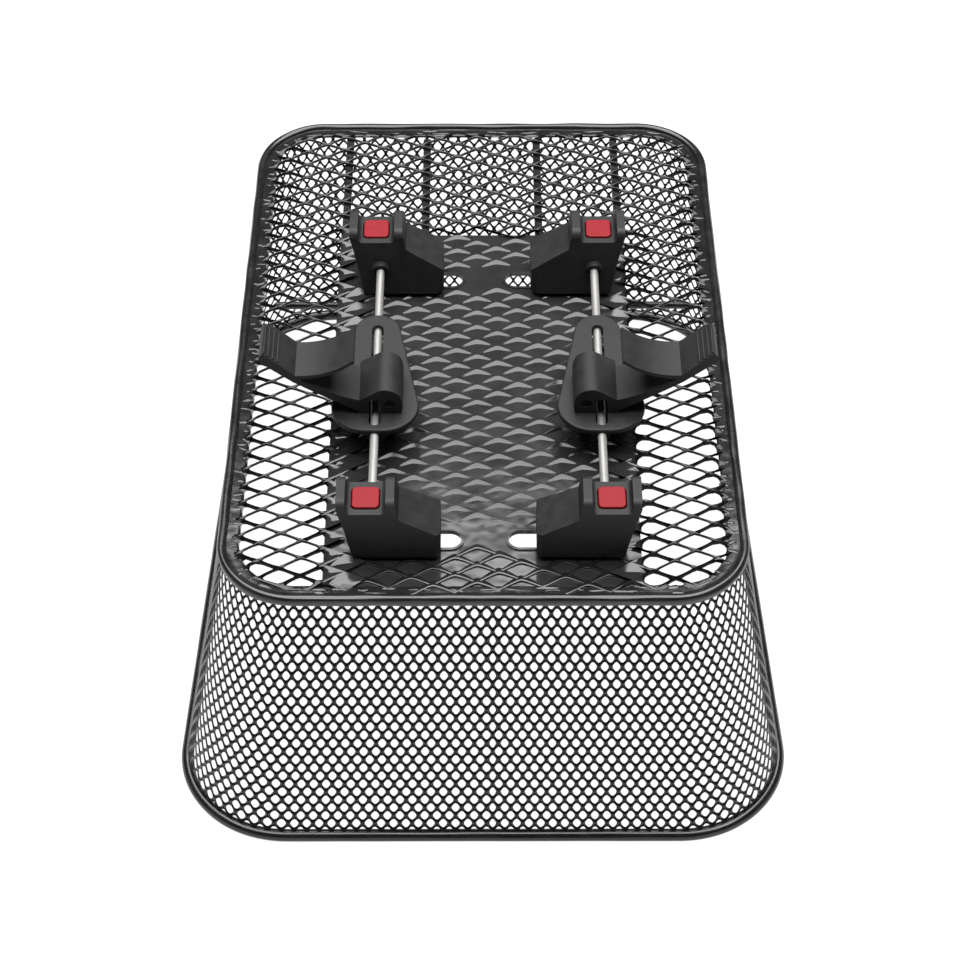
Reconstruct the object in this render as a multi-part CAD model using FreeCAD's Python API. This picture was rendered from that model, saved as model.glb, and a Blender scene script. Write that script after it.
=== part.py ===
import FreeCAD, Part
import math
import os
from FreeCAD import Vector

# Wire-mesh basket for a bicycle rear rack, standing on its rim with the rack mount on top.
# Origin: centre of the whole object's box, on the floor plane. +Z up, Y along the basket's
# length, X across it. All sizes in millimetres.

# --- basket: two closed outlines, the rim below and the base above -------------------------
RIM_TUBE_R = 3.5
RIM_HALF_NEAR = 170.2          # centre line of the rim tube, half width at the near end
RIM_HALF_FAR = 152.3
RIM_HALF_LENGTH = 213.5
RIM_CORNER_R = 59.0

BASE_WIRE_R = 2.5
BASE_TOP_Z = 186.3
BASE_HALF_NEAR = 135.5         # centre line of the base wire
BASE_HALF_FAR = 131.5
BASE_NEAR_Y = -198.5
BASE_FAR_Y = 184.5
BASE_CORNER_R = 38.5
BASE_BAND_WIDTH = 9.0
BASE_BAND_T = 1.5

WALL_T = 1.2
SEAM_X = 8.0                   # where the two wall sheets meet, at both ends

# --- floor: plate, strips and the expanded sheet over them ----------------------------------
PLATE_TOP_Z = 184.0
PLATE_T = 2.0
PLATE_HALF_WIDTH = 81.5
PLATE_FAR_Y = 83.5
MESH_T = 2.5
STRIP_X = (-79.5, -33.0, 33.0, 79.5)
STRIP_WIDTH = 4.5
END_BAR_R = 2.5
END_BAR_Y = 190.0
END_BAR_Z = 33.0
END_BAR_HALF = 150.0

# --- rack mount: one side at +u outboard of the centre plane, the other its mirror -----------
LEFT_X = 2.2                   # as set, the left side is slid in and the right side out
RIGHT_X = 3.4
SLOTS_X = 1.0                  # the slots are slightly off centre too
BLOCK_Z = 187.0                # underside of the clamp blocks, clear of the mesh
BLOCK_LENGTH = 30.0
FRONT_BLOCK_Y = -173.0         # outer end face of the front block
REAR_BLOCK_Y = 59.0            # outer end face of the rear block
CHANNEL_U = 61.8
CHANNEL_HALF = 10.2
CHANNEL_FLOOR = 32.0           # above the underside of the block
PRONG_TOP = 39.0
PRONG_T = 4.6
TOP_LENGTH = 23.0              # the channel part is shorter than the foot
SLOT_HALF_WIDTH = 6.0
SLOT_INNER_U = 12.1
SLOT_OUTER_U = 70.0
BOLT_U = 42.0
TONGUE_HALF = 9.0
TONGUE_GAP = 0.3

PAD_WIDTH = 14.0
PAD_LENGTH = 14.6
PAD_RISE = 1.2                 # how far a pad stands above its channel floor
PAD_HEIGHT = 7.0
PAD_TRAVEL = 3.0
PAD_CLEAR = 0.35
SPRING_R = 4.2
SPRING_WIRE_R = 0.5

ROD_U = 59.5
ROD_Z = 202.6
ROD_R = 2.25
ROD_RUNNING_CLEAR = 0.05
ROD_BURIED = 24.0              # length of rod inside each block

LEVER_TOP_Z = 207.0            # upper face of the lever plate
LEVER_PLATE_T = 3.5
LEVER_NEAR_Y = -100.8
LEVER_FAR_Y = -10.2
LEVER_SLOT_HALF = 3.2
LEVER_NEAR_R = 19.0
LEVER_FAR_R = 12.6
HOOK_NEAR_Y = -88.0
HOOK_LENGTH = 26.0
HUB_LENGTH = 30.0
CREASE = (100.4, 234.5)          # where the hook's curl meets its tongue, as (u, z)
TIP = (116.6, 250.2)


# --- helpers ------------------------------------------------------------------------------

def outline_points(half_near, half_far, near_y, far_y):
    return [Vector(-half_near, near_y, 0), Vector(half_near, near_y, 0),
            Vector(half_far, far_y, 0), Vector(-half_far, far_y, 0)]


def rounded_wire(corners, radius, z):
    """Closed wire through the corners, each rounded by a tangent arc."""
    starts, middles, ends = [], [], []
    count = len(corners)
    for i, corner in enumerate(corners):
        back = (corners[i - 1] - corner).normalize()
        ahead = (corners[(i + 1) % count] - corner).normalize()
        half = back.getAngle(ahead) / 2
        centre = corner + (back + ahead).normalize() * (radius / math.sin(half))
        starts.append(corner + back * (radius / math.tan(half)))
        ends.append(corner + ahead * (radius / math.tan(half)))
        middles.append(centre + (corner - centre).normalize() * radius)
    edges = []
    for i in range(count):
        edges.append(Part.Arc(starts[i], middles[i], ends[i]).toShape())
        edges.append(Part.LineSegment(ends[i], starts[(i + 1) % count]).toShape())
    wire = Part.Wire(edges)
    wire.translate(Vector(0, 0, z))
    return wire


def rim_outline(z, inset=0.0):
    corners = outline_points(RIM_HALF_NEAR - inset, RIM_HALF_FAR - inset,
                             inset - RIM_HALF_LENGTH, RIM_HALF_LENGTH - inset)
    return rounded_wire(corners, RIM_CORNER_R - inset, z)


def base_outline(z, inset=0.0):
    corners = outline_points(BASE_HALF_NEAR - inset, BASE_HALF_FAR - inset,
                             BASE_NEAR_Y + inset, BASE_FAR_Y - inset)
    return rounded_wire(corners, BASE_CORNER_R - inset, z)


def prism(wire, height):
    return Part.Face(wire).extrude(Vector(0, 0, height))


def round_bar(wire, radius):
    """Round section swept along a closed outline that starts on the near left arc."""
    edge = wire.Edges[0]
    start = edge.valueAt(edge.FirstParameter)
    tangent = edge.tangentAt(edge.FirstParameter)
    section = Part.Wire(Part.makeCircle(radius, start, tangent))
    return wire.makePipeShell([section], True, True)


def box(low, high):
    size = [b - a for a, b in zip(low, high)]
    return Part.makeBox(size[0], size[1], size[2], Vector(*low))


def cylinder_y(radius, u, z, y_low, y_high):
    return Part.makeCylinder(radius, y_high - y_low, Vector(u, y_low, z), Vector(0, 1, 0))


def cylinder_z(radius, x, y, z_low, z_high):
    return Part.makeCylinder(radius, z_high - z_low, Vector(x, y, z_low))


def profile_y(points, y_low, y_high):
    """Prism along Y from a closed outline of (u, z) points."""
    corners = [Vector(u, y_low, z) for u, z in points]
    face = Part.Face(Part.makePolygon(corners + corners[:1]))
    return face.extrude(Vector(0, y_high - y_low, 0))


def slot_cut(u_low, u_high, y, half_width, z_low, z_high):
    middle = box((u_low + half_width, y - half_width, z_low), (u_high - half_width, y + half_width, z_high))
    ends = [cylinder_z(half_width, u_low + half_width, y, z_low, z_high),
            cylinder_z(half_width, u_high - half_width, y, z_low, z_high)]
    return middle.fuse(ends)


def rounded_block(width, length, radius, centre, z_low, z_high):
    x, y = centre
    low, high = (x - width / 2, y - length / 2), (x + width / 2, y + length / 2)
    corners = [Vector(low[0], low[1], 0), Vector(high[0], low[1], 0),
               Vector(high[0], high[1], 0), Vector(low[0], high[1], 0)]
    return prism(rounded_wire(corners, radius, z_low), z_high - z_low)


def mirror_x(shape):
    return shape.mirror(Vector(0, 0, 0), Vector(1, 0, 0))


# --- basket -------------------------------------------------------------------------------

RIM_Z = RIM_TUBE_R
BASE_WIRE_Z = BASE_TOP_Z - BASE_WIRE_R


def rim_tube():
    return round_bar(rim_outline(RIM_Z), RIM_TUBE_R)


def base_wire():
    return round_bar(base_outline(BASE_WIRE_Z), BASE_WIRE_R)


def base_band():
    """Flat band inside the base wire, level with the plate's upper face."""
    low = PLATE_TOP_Z - BASE_BAND_T
    outer = prism(base_outline(low, BASE_WIRE_R), BASE_BAND_T)
    inner = prism(base_outline(low, BASE_WIRE_R + BASE_BAND_WIDTH), BASE_BAND_T)
    return outer.cut(inner)


def wall_outline(z, inset):
    """Outline of the sloping wall at height z, between the rim and the base outlines."""
    t = (z - RIM_Z) / (BASE_WIRE_Z - RIM_Z)

    def blend(low, high):
        return low + (high - low) * t

    corners = outline_points(blend(RIM_HALF_NEAR, BASE_HALF_NEAR) - inset,
                             blend(RIM_HALF_FAR, BASE_HALF_FAR) - inset,
                             blend(-RIM_HALF_LENGTH, BASE_NEAR_Y) + inset,
                             blend(RIM_HALF_LENGTH, BASE_FAR_Y) - inset)
    return rounded_wire(corners, blend(RIM_CORNER_R, BASE_CORNER_R) - inset, z)


def wall_loft(inset):
    return Part.makeLoft([wall_outline(RIM_Z, inset), wall_outline(BASE_WIRE_Z, inset)], True, True)


def wall_half(sign):
    """Sheet of fine mesh from the near seam round one side to the far seam, tube to wire."""
    sheet = wall_loft(0).cut(wall_loft(WALL_T)).cut([rim_tube(), base_wire(), base_band()])
    reach = RIM_HALF_NEAR + RIM_HALF_LENGTH
    low_x, high_x = sorted((SEAM_X, SEAM_X + sign * reach))
    side = box((low_x, -reach, RIM_Z), (high_x, reach, BASE_TOP_Z))
    halves = sheet.common(side).Solids
    return max(halves, key=lambda solid: solid.Volume)


def end_bar():
    bar = Part.makeCylinder(END_BAR_R, 2 * END_BAR_HALF, Vector(-END_BAR_HALF, END_BAR_Y, END_BAR_Z), Vector(1, 0, 0))
    return bar.common(wall_loft(WALL_T))


# --- floor --------------------------------------------------------------------------------

FRONT_SLOT_Y = FRONT_BLOCK_Y + BLOCK_LENGTH / 2
REAR_SLOT_Y = REAR_BLOCK_Y - BLOCK_LENGTH / 2
PLATE_NEAR_Y = BASE_NEAR_Y + BASE_WIRE_R + BASE_BAND_WIDTH


def slots(z_low, z_high):
    cuts = []
    for y in (FRONT_SLOT_Y, REAR_SLOT_Y):
        for low, high in ((SLOT_INNER_U, SLOT_OUTER_U), (-SLOT_OUTER_U, -SLOT_INNER_U)):
            cuts.append(slot_cut(low + SLOTS_X, high + SLOTS_X, y, SLOT_HALF_WIDTH, z_low, z_high))
    return cuts


def mount_plate():
    low = PLATE_TOP_Z - PLATE_T
    plate = box((-PLATE_HALF_WIDTH, PLATE_NEAR_Y, low), (PLATE_HALF_WIDTH, PLATE_FAR_Y, PLATE_TOP_Z))
    return plate.cut(slots(low - 1, PLATE_TOP_Z + 1))


def floor_mesh():
    """Expanded sheet that lies on the plate, the strips and half the band's width."""
    sheet = prism(base_outline(PLATE_TOP_Z, BASE_WIRE_R + BASE_BAND_WIDTH / 2), MESH_T)
    return sheet.cut(slots(PLATE_TOP_Z - 1, PLATE_TOP_Z + MESH_T + 1))


def floor_strip(x):
    low = PLATE_TOP_Z - PLATE_T
    far_y = BASE_FAR_Y - BASE_WIRE_R - BASE_BAND_WIDTH
    return box((x - STRIP_WIDTH / 2, PLATE_FAR_Y, low), (x + STRIP_WIDTH / 2, far_y, PLATE_TOP_Z))


# --- clamp blocks -------------------------------------------------------------------------

CHANNEL_FLOOR_Z = BLOCK_Z + CHANNEL_FLOOR
PAD_TOP_Z = CHANNEL_FLOOR_Z + PAD_RISE
POCKET_FLOOR_Z = 207.5


def block_profile():
    """Section across a block: sloping outer side, U channel, sloping inner shoulder."""
    outer = CHANNEL_U + CHANNEL_HALF + PRONG_T
    inner = CHANNEL_U - CHANNEL_HALF - PRONG_T
    fillet = 2.2
    return [(24.0, BLOCK_Z), (69.2, BLOCK_Z), (72.9, BLOCK_Z + 20), (outer, BLOCK_Z + 35),
            (outer, BLOCK_Z + PRONG_TOP), (outer - PRONG_T, BLOCK_Z + PRONG_TOP),
            (CHANNEL_U + CHANNEL_HALF, CHANNEL_FLOOR_Z + 1.5 * fillet),
            (CHANNEL_U + CHANNEL_HALF - fillet, CHANNEL_FLOOR_Z),
            (CHANNEL_U - CHANNEL_HALF + fillet, CHANNEL_FLOOR_Z),
            (CHANNEL_U - CHANNEL_HALF, CHANNEL_FLOOR_Z + 1.5 * fillet),
            (inner + PRONG_T, BLOCK_Z + PRONG_TOP), (inner, BLOCK_Z + PRONG_TOP),
            (inner - 1.8, BLOCK_Z + 27.7), (24.0, BLOCK_Z + 15)]


def clamp_block(outer_y, facing):
    """facing is +1 where the inner face looks along +Y, -1 where it looks along -Y."""
    inner_y = outer_y + facing * BLOCK_LENGTH
    low, high = sorted((outer_y, inner_y))
    block = profile_y(block_profile(), low, high)
    block = block.cut(relief_of_inner_face(inner_y, facing))
    block = block.cut([end_rounding(outer_y, facing), end_rounding(outer_y + facing * TOP_LENGTH, -facing)])
    block = block.cut(pad_pocket(pad_y(outer_y, facing)))
    block = block.fuse(rod_boss(inner_y, facing))
    block = block.cut(rod_bore(inner_y, facing))
    slot_y = outer_y + facing * BLOCK_LENGTH / 2
    tongue = rounded_block(2 * TONGUE_HALF, 2 * (SLOT_HALF_WIDTH - TONGUE_GAP), 3.0,
                           (BOLT_U, slot_y), PLATE_TOP_Z - PLATE_T, BLOCK_Z)
    block = block.fuse(tongue)
    insert_bore = cylinder_z(INSERT_R, BOLT_U, slot_y, PLATE_TOP_Z - PLATE_T - 1, BLOCK_Z + INSERT_TOP)
    return block.cut(insert_bore).removeSplitter()


INSERT_R = 4.0
INSERT_TOP = 11.0


def pad_y(outer_y, facing):
    return outer_y + facing * TOP_LENGTH / 2


def relief_of_inner_face(inner_y, facing):
    """The face towards the other block leans back from its foot to the shorter channel part."""
    back = BLOCK_LENGTH - TOP_LENGTH
    reach = inner_y + facing
    corners = [(inner_y, BLOCK_Z), (inner_y - facing * back, CHANNEL_FLOOR_Z),
               (inner_y - facing * back, BLOCK_Z + PRONG_TOP + 1),
               (reach, BLOCK_Z + PRONG_TOP + 1), (reach, BLOCK_Z)]
    points = [Vector(20, y, z) for y, z in corners]
    face = Part.Face(Part.makePolygon(points + points[:1]))
    return face.extrude(Vector(70, 0, 0))


def end_rounding(y, facing):
    """Rounds the top of both prongs at the end y, where facing points into the block."""
    radius = 5.0
    top = BLOCK_Z + PRONG_TOP
    corner = box((20, min(y, y + facing * radius), top - radius), (90, max(y, y + facing * radius), top + 1))
    axis = Part.makeCylinder(radius, 90, Vector(10, y + facing * radius, top - radius), Vector(1, 0, 0))
    return corner.cut(axis)


def pad_pocket(y):
    width, length = PAD_WIDTH + 2 * PAD_CLEAR, PAD_LENGTH + 2 * PAD_CLEAR
    pocket = rounded_block(width, length, 2.8, (CHANNEL_U, y), POCKET_FLOOR_Z, CHANNEL_FLOOR_Z + 1)
    groove = box((CHANNEL_U - 2.2, y - length / 2 - 0.8, POCKET_FLOOR_Z),
                 (CHANNEL_U + 2.2, y + length / 2 + 0.8, CHANNEL_FLOOR_Z - 2.5))
    return pocket.fuse(groove)


def rod_boss(inner_y, facing):
    low, high = sorted((inner_y - facing * 6, inner_y - facing * 0.8))
    return cylinder_y(5.1, ROD_U, ROD_Z, low, high)


def rod_bore(inner_y, facing):
    low, high = sorted((inner_y - facing * ROD_BURIED, inner_y + facing * 2))
    bore = cylinder_y(ROD_R, ROD_U, ROD_Z, low, high)
    low, high = sorted((inner_y - facing * 2.0, inner_y + facing * 2))
    return bore.fuse(cylinder_y(3.4, ROD_U, ROD_Z, low, high))


def tube_pad(y):
    """Pad with two snap-in ribs that run in the pocket's grooves and keep it from coming out."""
    low = PAD_TOP_Z - PAD_HEIGHT
    pad = rounded_block(PAD_WIDTH, PAD_LENGTH, 2.5, (CHANNEL_U, y), low, PAD_TOP_Z)
    pad = pad.makeFillet(0.8, top_edges(pad, PAD_TOP_Z))
    rib = box((CHANNEL_U - 1.8, y - PAD_LENGTH / 2 - 0.8, low),
              (CHANNEL_U + 1.8, y + PAD_LENGTH / 2 + 0.8, CHANNEL_FLOOR_Z - 2.8))
    return pad.fuse(rib).removeSplitter()


def top_edges(shape, z):
    return [e for e in shape.Edges if all(abs(v.Z - z) < 1e-6 for v in e.Vertexes)]


def pad_spring(y):
    height = PAD_TOP_Z - PAD_HEIGHT - POCKET_FLOOR_Z - 2 * SPRING_WIRE_R
    helix = Part.makeHelix(height / 2.5, height, SPRING_R)
    start = helix.Edges[0].valueAt(helix.Edges[0].FirstParameter)
    tangent = helix.Edges[0].tangentAt(helix.Edges[0].FirstParameter)
    section = Part.Wire(Part.makeCircle(SPRING_WIRE_R, start, tangent))
    coil = Part.Wire(helix.Edges).makePipeShell([section], True, True)
    coil.translate(Vector(CHANNEL_U, y, POCKET_FLOOR_Z + SPRING_WIRE_R))
    return coil


def rod():
    low = FRONT_BLOCK_Y + BLOCK_LENGTH - ROD_BURIED
    high = REAR_BLOCK_Y - BLOCK_LENGTH + ROD_BURIED
    return cylinder_y(ROD_R, ROD_U, ROD_Z, low, high)


# --- lever and hook -----------------------------------------------------------------------

def lever_outline():
    """Tear drop: a round far end and a wide near end with a straight edge."""
    far = (59.6, LEVER_FAR_Y - LEVER_FAR_R, LEVER_FAR_R)
    near_in = (55.2, LEVER_NEAR_Y + LEVER_NEAR_R, LEVER_NEAR_R)
    near_out = (63.8, LEVER_NEAR_Y + LEVER_NEAR_R, LEVER_NEAR_R)
    ring = [near_in, far, near_out]
    tangents = [outer_tangent(ring[i], ring[(i + 1) % 3]) for i in range(3)]
    edges = []
    for i in range(3):
        start, end = tangents[i - 1][1], tangents[i][0]
        u, y, radius = ring[i]
        centre = Vector(u, y, 0)
        middle = centre + ((start + end) * 0.5 - centre).normalize() * radius
        if (middle - centre).dot(centre - Vector(59, -60, 0)) < 0:
            middle = centre * 2 - middle
        edges.append(Part.Arc(start, middle, end).toShape())
        edges.append(Part.LineSegment(end, tangents[i][1]).toShape())
    return Part.Wire(edges)


def outer_tangent(a, b):
    """Ends of the line that touches circles a and b on their left, going from a to b."""
    ax, ay, ar = a
    bx, by, br = b
    run = Vector(bx - ax, by - ay, 0)
    along = Vector(run).normalize()
    left = Vector(-along.y, along.x, 0)
    lean = (ar - br) / run.Length
    normal = along * lean + left * math.sqrt(1 - lean * lean)
    return Vector(ax, ay, 0) + normal * ar, Vector(bx, by, 0) + normal * br


def lever_plate():
    low = LEVER_TOP_Z - LEVER_PLATE_T
    outline = lever_outline()
    plate = Part.Face(outline).extrude(Vector(0, 0, LEVER_PLATE_T))
    plate.translate(Vector(0, 0, low))
    plate = plate.makeFillet(1.2, top_edges(plate, LEVER_TOP_Z))
    near_eye = cylinder_y(EYE_R, ROD_U, ROD_Z, LEVER_NEAR_Y + 0.5, SLOT_NEAR_Y)
    far_eye = cylinder_y(EYE_R, ROD_U, ROD_Z, SLOT_FAR_Y, LEVER_FAR_Y - 1)
    plate = plate.fuse([near_eye, far_eye])
    window = box((ROD_U - LEVER_SLOT_HALF, SLOT_NEAR_Y, low - 5),
                 (ROD_U + LEVER_SLOT_HALF, SLOT_FAR_Y, LEVER_TOP_Z + 1))
    plate = plate.cut(window).fuse(lever_lug())
    bore = cylinder_y(ROD_R + ROD_RUNNING_CLEAR, ROD_U, ROD_Z, LEVER_NEAR_Y - 5, LEVER_FAR_Y + 5)
    return plate.cut([bore, screw_bore()]).removeSplitter()


EYE_R = 4.2
SLOT_NEAR_Y = LEVER_NEAR_Y + 4.0
SLOT_FAR_Y = LEVER_FAR_Y - 8.8
SCREW_U = 51.5
SCREW_Z = 214.0
SCREW_R = 1.6
SCREW_HEAD_R = 2.6
LUG_NEAR_Y = -78.0
LUG_FAR_Y = -68.0


def lever_lug():
    return box((SCREW_U - 3.5, LUG_NEAR_Y, LEVER_TOP_Z - 1), (SCREW_U + 3.5, LUG_FAR_Y, SCREW_Z + 3.5))


def screw_bore():
    return cylinder_y(SCREW_R, SCREW_U, SCREW_Z, HOOK_NEAR_Y - 1, LUG_FAR_Y + 4)


def hook_screw():
    shank = cylinder_y(SCREW_R, SCREW_U, SCREW_Z, HOOK_NEAR_Y + 3.5, LUG_FAR_Y + 4)
    head = cylinder_y(SCREW_HEAD_R, SCREW_U, SCREW_Z, HOOK_NEAR_Y + 1.0, HOOK_NEAR_Y + 3.5)
    socket = box((SCREW_U - 0.4, HOOK_NEAR_Y, SCREW_Z - 2), (SCREW_U + 0.4, HOOK_NEAR_Y + 2, SCREW_Z + 2))
    return shank.fuse(head).cut(socket).removeSplitter()


def hub_profile():
    return [(46.0, LEVER_TOP_Z), (68.0, LEVER_TOP_Z), (66.9, 216.0), (55.8, 223.6), (48.5, 221.5),
            (45.0, 217.0), (44.8, 213.0)]


def arc_points(start, middle, end, count):
    arc = Part.Arc(Vector(start[0], start[1], 0), Vector(middle[0], middle[1], 0), Vector(end[0], end[1], 0))
    return [(p.x, p.y) for p in arc.toShape().discretize(count)]


def hook_profile():
    """Arm that rises outboard to a ribbed tongue; from the crease a thin curl turns back over it."""
    curl_top = arc_points(CREASE, (85.3, 236.4), (70.0, 244.9), 7)
    curl_under = arc_points((70.6, 242.4), (85.6, 234.0), (97.5, 232.0), 7)
    return ([(66.0, LEVER_TOP_Z + 1.5), (81.5, 217.2), (101.5, 229.6), (117.6, 243.6), (119.0, 245.8), TIP]
            + curl_top + [(69.5, 243.8)] + curl_under
            + [(97.5, 231.0), (90.2, 226.8), (82.3, 222.4), (67.4, 216.6), (62.0, 216.0)])


def grip_ribs():
    """Low ribs across the tongue."""
    ribs = []
    for t in (0.55, 0.69, 0.83, 0.96):
        u = CREASE[0] + (TIP[0] - CREASE[0]) * t
        z = CREASE[1] + (TIP[1] - CREASE[1]) * t
        ribs.append(cylinder_y(0.7, u, z, HOOK_NEAR_Y + 1.5, HOOK_NEAR_Y + HOOK_LENGTH - 1.5))
    return ribs


def hook():
    hub = profile_y(hub_profile(), HOOK_NEAR_Y, HOOK_NEAR_Y + HUB_LENGTH)
    arm = profile_y(hook_profile(), HOOK_NEAR_Y, HOOK_NEAR_Y + HOOK_LENGTH)
    body = hub.fuse([arm] + grip_ribs())
    arch = box((ROD_U - LEVER_SLOT_HALF, HOOK_NEAR_Y - 1, LEVER_TOP_Z - 1),
               (ROD_U + LEVER_SLOT_HALF, HOOK_NEAR_Y + HUB_LENGTH + 1, 213.5))
    vault = cylinder_y(LEVER_SLOT_HALF, ROD_U, 213.5, HOOK_NEAR_Y - 1, HOOK_NEAR_Y + HUB_LENGTH + 1)
    head_bore = cylinder_y(SCREW_HEAD_R, SCREW_U, SCREW_Z, HOOK_NEAR_Y - 1, HOOK_NEAR_Y + 3.5)
    return body.cut([arch, vault, lever_lug(), screw_bore(), head_bore]).removeSplitter()


# --- fasteners through the slots ------------------------------------------------------------

WASHER_T = 2.0
BOLT_R = 3.0
HEAD_R = 5.0
HEAD_T = 4.0
PLATE_UNDER_Z = PLATE_TOP_Z - PLATE_T


def per_slot(make):
    return Part.makeCompound([make(y) for y in (FRONT_SLOT_Y, REAR_SLOT_Y)])


def slot_washer(y):
    high = PLATE_UNDER_Z - TONGUE_GAP
    plate = rounded_block(26.0, 20.0, 4.0, (BOLT_U, y), high - WASHER_T, high)
    return plate.cut(cylinder_z(BOLT_R, BOLT_U, y, high - 2 * WASHER_T, high + 1))


def clamp_bolt(y):
    seat = PLATE_UNDER_Z - TONGUE_GAP - WASHER_T
    shank = cylinder_z(BOLT_R, BOLT_U, y, seat, BLOCK_Z + INSERT_TOP - 1)
    hexagon = [Vector(BOLT_U + HEAD_R / math.cos(math.pi / 6) * math.cos(math.radians(60 * k)),
                      y + HEAD_R / math.cos(math.pi / 6) * math.sin(math.radians(60 * k)), seat - HEAD_T)
               for k in range(6)]
    head = prism(Part.makePolygon(hexagon + hexagon[:1]), HEAD_T)
    return shank.fuse(head).removeSplitter()


def threaded_insert(y):
    low, high = BLOCK_Z, BLOCK_Z + INSERT_TOP
    return cylinder_z(INSERT_R, BOLT_U, y, low, high).cut(cylinder_z(BOLT_R, BOLT_U, y, low - 1, high - 1))


# --- nodes --------------------------------------------------------------------------------

def side_nodes():
    """Every piece of one side, modelled at positive u."""
    ends = {"front": (FRONT_BLOCK_Y, 1), "rear": (REAR_BLOCK_Y, -1)}
    nodes = {}
    for end, (outer_y, facing) in ends.items():
        nodes[end + "_block"] = clamp_block(outer_y, facing)
        nodes[end + "_pad"] = tube_pad(pad_y(outer_y, facing))
        nodes[end + "_pad_spring"] = pad_spring(pad_y(outer_y, facing))
    nodes["rod"] = rod()
    nodes["lever_plate"] = lever_plate()
    nodes["hook"] = hook()
    nodes["hook_screw"] = hook_screw()
    nodes["slot_washers"] = per_slot(slot_washer)
    nodes["clamp_bolts"] = per_slot(clamp_bolt)
    nodes["threaded_inserts"] = per_slot(threaded_insert)
    return nodes


def basket_nodes():
    nodes = {"rim_tube": rim_tube(), "base_wire": base_wire(), "base_band": base_band(),
             "left_wall_mesh": wall_half(-1), "right_wall_mesh": wall_half(1), "end_bar": end_bar(),
             "mount_plate": mount_plate(), "floor_mesh": floor_mesh()}
    for number, x in enumerate(STRIP_X, start=1):
        nodes["floor_strip_%d" % number] = floor_strip(x)
    return nodes


def main():
    os.makedirs("parts", exist_ok=True)
    nodes = basket_nodes()
    for name, shape in side_nodes().items():
        nodes["right_" + name] = shape.translated(Vector(RIGHT_X, 0, 0))
        nodes["left_" + name] = mirror_x(shape).translated(Vector(LEFT_X, 0, 0))
    for name, shape in nodes.items():
        if not shape.isValid() or shape.Volume <= 0:
            print("check", name, shape.isValid(), shape.Volume)
        print("%-26s %9.1f mm3  solids %d" % (name, shape.Volume, len(shape.Solids)))
        shape.exportStep("parts/%s.step" % name)


main()
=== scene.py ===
"""Visual model of a wire-mesh rack basket that stands on its rim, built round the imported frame."""
import math
import random

import bpy
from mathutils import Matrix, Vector, noise


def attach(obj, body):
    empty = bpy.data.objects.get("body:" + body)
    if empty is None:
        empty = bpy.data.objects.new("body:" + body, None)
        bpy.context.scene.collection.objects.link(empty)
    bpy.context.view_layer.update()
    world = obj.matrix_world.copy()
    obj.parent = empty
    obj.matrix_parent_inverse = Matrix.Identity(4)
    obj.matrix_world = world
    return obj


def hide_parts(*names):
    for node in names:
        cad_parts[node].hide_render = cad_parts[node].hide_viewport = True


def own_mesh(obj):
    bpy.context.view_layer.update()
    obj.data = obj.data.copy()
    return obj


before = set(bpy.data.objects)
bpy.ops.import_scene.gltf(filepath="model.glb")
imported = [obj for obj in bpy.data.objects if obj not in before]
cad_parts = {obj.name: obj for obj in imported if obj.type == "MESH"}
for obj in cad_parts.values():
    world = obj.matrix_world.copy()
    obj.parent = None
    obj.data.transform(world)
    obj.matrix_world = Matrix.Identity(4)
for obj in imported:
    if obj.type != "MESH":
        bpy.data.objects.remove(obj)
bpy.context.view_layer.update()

# Everything below is in millimetres in the frame's axes, and becomes metres in add_piece.
MM = 0.001

# --- driving sizes -------------------------------------------------------------------------
RIM_TUBE_R = 3.5
RIM = dict(half_near=170.2, half_far=152.3, near_y=-213.5, far_y=213.5, radius=59.0)
RIM_Z = 3.5
BASE = dict(half_near=135.5, half_far=131.5, near_y=-198.5, far_y=184.5, radius=38.5)
BASE_WIRE_R = 2.5
BASE_WIRE_Z = 183.8
BAND_WIDTH = 6.2
BAND_TOP_Z = 184.1
PLATE_TOP_Z = 184.0
PLATE_T = 2.0
PLATE_HALF = 81.5
PLATE_NEAR_Y = -190.0
PLATE_FAR_Y = 83.5
SEAM_X = 5.0
SEAM_SQUEEZE = 0.82             # holes on the seams are this much narrower

SLOT_Y = (-158.0, 44.0)
SLOT_HALF = 6.0
SLOT_INNER = 12.1
SLOT_OUTER = 70.0
SLOTS_X = 1.0                  # slots lie this far right of the centre plane
SLOT_PAD = 13.0                # smooth strip of the plate beyond the middle of a slot

FINE_COLUMNS = 103             # in each wall sheet
FINE_ROWS = 27                 # half rows between the wire and the rim
# Holes at the near and the far end: half width in half pitches, half height in half rows, roundness.
FINE_HOLE_NEAR = (0.66, 0.54, 1.50)
FINE_HOLE_FAR = (0.74, 0.64, 1.24)
FINE_THICK = 0.38              # half the sheet's thickness
FINE_TOP = 0.021               # first row's place, as a part of the wall's height
FINE_SPAN = 0.959              # part of the wall's height that the rows fill

COARSE_PITCH = 22.54
COARSE_ROW = 6.03              # half row
COARSE_SHEAR = 0.083
COARSE_PHASE = (-3.3, -170.0)
COARSE_Z = 185.2               # middle of the coarse sheet
COARSE_SINK = 2.3              # how far it dips into the band at its edge
WEB_SAG = 1.3                  # how far the paint sags where it closes part of a hole
OPEN_HOLE = (0.86, 0.92)       # corners of the hole before rounding, in half pitches and half rows
CREST_FALL = 0.54              # how steeply a crest runs back along the diamond
CREST_ROUND = 1.5

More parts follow.
